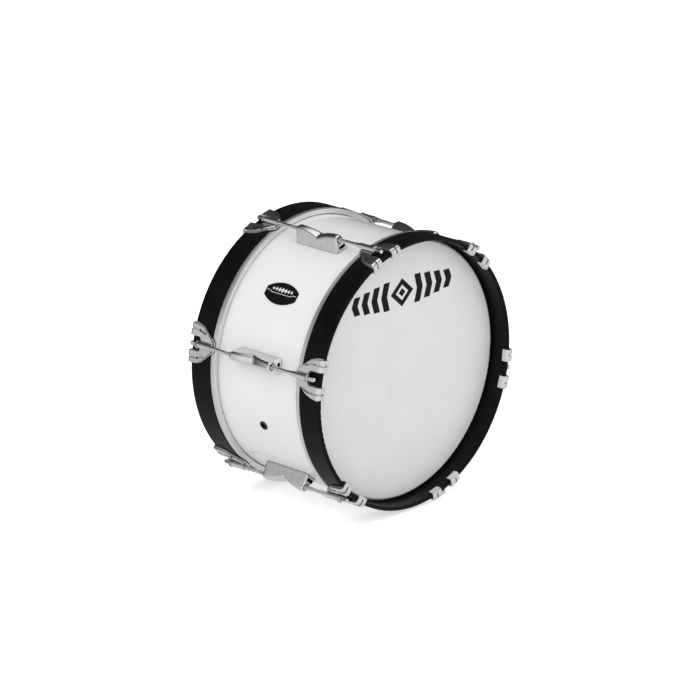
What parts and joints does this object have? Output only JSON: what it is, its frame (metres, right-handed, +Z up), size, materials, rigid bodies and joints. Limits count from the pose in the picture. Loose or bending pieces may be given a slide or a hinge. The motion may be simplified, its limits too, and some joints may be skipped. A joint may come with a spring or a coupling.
{
  "type": "marching bass drum",
  "caption": "Double-headed bass drum with white shell, black wooden hoops, chrome claws, square-headed tension rods and double-ended lugs.",
  "frame": {"origin": "the middle of the drum, on its axis, half way between the two heads", "axes": "+Y along the drum's axis from the front (marked) head to the rear head, +Z up, +X to the right as seen from the front"},
  "size_m": [0.4484, 0.2752, 0.4336],
  "materials": {
    "birch_ply": "sealed bare plies inside the shell and at the bearing edges",
    "white_wrap": "gloss white",
    "badge_enamel": "gloss black enamel",
    "grommet_black": "black",
    "lug_chrome": "bright plated die casting",
    "gasket_rubber": "matt",
    "nut_nickel": "bright nickel plate over brass",
    "retainer_nylon": "natural nylon",
    "screw_steel": "zinc-plated",
    "head_film": "smooth white film with a soft sheen",
    "flesh_aluminium": "satin extrusion",
    "channel_resin": "cast amber resin",
    "hoop_lacquer": "black satin lacquer over maple plies",
    "claw_chrome": "bright plated die casting",
    "liner_rubber": "matt",
    "rod_chrome": "bright plated steel"
  },
  "bodies": {
    "shell": {"shell_plies": "birch_ply", "shell_wrap": "white_wrap", "badge_plate": "badge_enamel", "vent_grommet": "grommet_black", "lug_1": "lug_chrome", "lug_2": "lug_chrome", "lug_3": "lug_chrome", "lug_4": "lug_chrome", "lug_5": "lug_chrome", "lug_6": "lug_chrome", "lug_gaskets": "gasket_rubber", "swivel_nuts": "nut_nickel", "nut_retainers": "retainer_nylon", "lug_screws": "screw_steel", "lug_washers": "screw_steel"},
    "front_hoop_group": {"front_head_film": "head_film", "front_flesh_hoop": "flesh_aluminium", "front_channel_resin": "channel_resin", "front_counter_hoop": "hoop_lacquer", "front_claw_1": "claw_chrome", "front_claw_2": "claw_chrome", "front_claw_3": "claw_chrome", "front_claw_4": "claw_chrome", "front_claw_5": "claw_chrome", "front_claw_6": "claw_chrome", "front_claw_liners": "liner_rubber", "front_rod_washers": "screw_steel"},
    "rear_hoop_group": {"rear_head_film": "head_film", "rear_flesh_hoop": "flesh_aluminium", "rear_channel_resin": "channel_resin", "rear_counter_hoop": "hoop_lacquer", "rear_claw_1": "claw_chrome", "rear_claw_2": "claw_chrome", "rear_claw_3": "claw_chrome", "rear_claw_4": "claw_chrome", "rear_claw_5": "claw_chrome", "rear_claw_6": "claw_chrome", "rear_claw_liners": "liner_rubber", "rear_rod_washers": "screw_steel"},
    "front_rod_1": {"front_tension_rod_1": "rod_chrome"},
    "front_rod_2": {"front_tension_rod_2": "rod_chrome"},
    "front_rod_3": {"front_tension_rod_3": "rod_chrome"},
    "front_rod_4": {"front_tension_rod_4": "rod_chrome"},
    "front_rod_5": {"front_tension_rod_5": "rod_chrome"},
    "front_rod_6": {"front_tension_rod_6": "rod_chrome"},
    "rear_rod_1": {"rear_tension_rod_1": "rod_chrome"},
    "rear_rod_2": {"rear_tension_rod_2": "rod_chrome"},
    "rear_rod_3": {"rear_tension_rod_3": "rod_chrome"},
    "rear_rod_4": {"rear_tension_rod_4": "rod_chrome"},
    "rear_rod_5": {"rear_tension_rod_5": "rod_chrome"},
    "rear_rod_6": {"rear_tension_rod_6": "rod_chrome"}
  },
  "joints": [
    {"name": "front_slackening", "type": "slide", "parent": "shell", "child": "front_hoop_group", "axis": [0, -1, 0], "range_m": [0, 0.008]},
    {"name": "rear_slackening", "type": "slide", "parent": "shell", "child": "rear_hoop_group", "axis": [0, 1, 0], "range_m": [0, 0.008]},
    {"name": "front_rod_1_turn", "type": "hinge", "parent": "front_hoop_group", "child": "front_rod_1", "pos_m": [-0.07104, 0, 0.20927], "axis": [0, -1, 0], "range_deg": [0, 2880]},
    {"name": "front_rod_2_turn", "type": "hinge", "parent": "front_hoop_group", "child": "front_rod_2", "pos_m": [0.14572, 0, 0.16616], "axis": [0, -1, 0], "range_deg": [0, 2880]},
    {"name": "front_rod_3_turn", "type": "hinge", "parent": "front_hoop_group", "child": "front_rod_3", "pos_m": [0.21675, 0, -0.04312], "axis": [0, -1, 0], "range_deg": [0, 2880]},
    {"name": "front_rod_4_turn", "type": "hinge", "parent": "front_hoop_group", "child": "front_rod_4", "pos_m": [0.07104, 0, -0.20927], "axis": [0, -1, 0], "range_deg": [0, 2880]},
    {"name": "front_rod_5_turn", "type": "hinge", "parent": "front_hoop_group", "child": "front_rod_5", "pos_m": [-0.14572, 0, -0.16616], "axis": [0, -1, 0], "range_deg": [0, 2880]},
    {"name": "front_rod_6_turn", "type": "hinge", "parent": "front_hoop_group", "child": "front_rod_6", "pos_m": [-0.21675, 0, 0.04312], "axis": [0, -1, 0], "range_deg": [0, 2880]},
    {"name": "rear_rod_1_turn", "type": "hinge", "parent": "rear_hoop_group", "child": "rear_rod_1", "pos_m": [-0.07104, 0, 0.20927], "axis": [0, 1, 0], "range_deg": [0, 2880]},
    {"name": "rear_rod_2_turn", "type": "hinge", "parent": "rear_hoop_group", "child": "rear_rod_2", "pos_m": [0.14572, 0, 0.16616], "axis": [0, 1, 0], "range_deg": [0, 2880]},
    {"name": "rear_rod_3_turn", "type": "hinge", "parent": "rear_hoop_group", "child": "rear_rod_3", "pos_m": [0.21675, 0, -0.04312], "axis": [0, 1, 0], "range_deg": [0, 2880]},
    {"name": "rear_rod_4_turn", "type": "hinge", "parent": "rear_hoop_group", "child": "rear_rod_4", "pos_m": [0.07104, 0, -0.20927], "axis": [0, 1, 0], "range_deg": [0, 2880]},
    {"name": "rear_rod_5_turn", "type": "hinge", "parent": "rear_hoop_group", "child": "rear_rod_5", "pos_m": [-0.14572, 0, -0.16616], "axis": [0, 1, 0], "range_deg": [0, 2880]},
    {"name": "rear_rod_6_turn", "type": "hinge", "parent": "rear_hoop_group", "child": "rear_rod_6", "pos_m": [-0.21675, 0, 0.04312], "axis": [0, 1, 0], "range_deg": [0, 2880]}
  ],
  "couplings": [
    {"joint": "front_rod_1_turn", "follows": "front_slackening", "rad_per_m": 6283.2},
    {"joint": "front_rod_2_turn", "follows": "front_slackening", "rad_per_m": 6283.2},
    {"joint": "front_rod_3_turn", "follows": "front_slackening", "rad_per_m": 6283.2},
    {"joint": "front_rod_4_turn", "follows": "front_slackening", "rad_per_m": 6283.2},
    {"joint": "front_rod_5_turn", "follows": "front_slackening", "rad_per_m": 6283.2},
    {"joint": "front_rod_6_turn", "follows": "front_slackening", "rad_per_m": 6283.2},
    {"joint": "rear_rod_1_turn", "follows": "rear_slackening", "rad_per_m": 6283.2},
    {"joint": "rear_rod_2_turn", "follows": "rear_slackening", "rad_per_m": 6283.2},
    {"joint": "rear_rod_3_turn", "follows": "rear_slackening", "rad_per_m": 6283.2},
    {"joint": "rear_rod_4_turn", "follows": "rear_slackening", "rad_per_m": 6283.2},
    {"joint": "rear_rod_5_turn", "follows": "rear_slackening", "rad_per_m": 6283.2},
    {"joint": "rear_rod_6_turn", "follows": "rear_slackening", "rad_per_m": 6283.2}
  ]
}
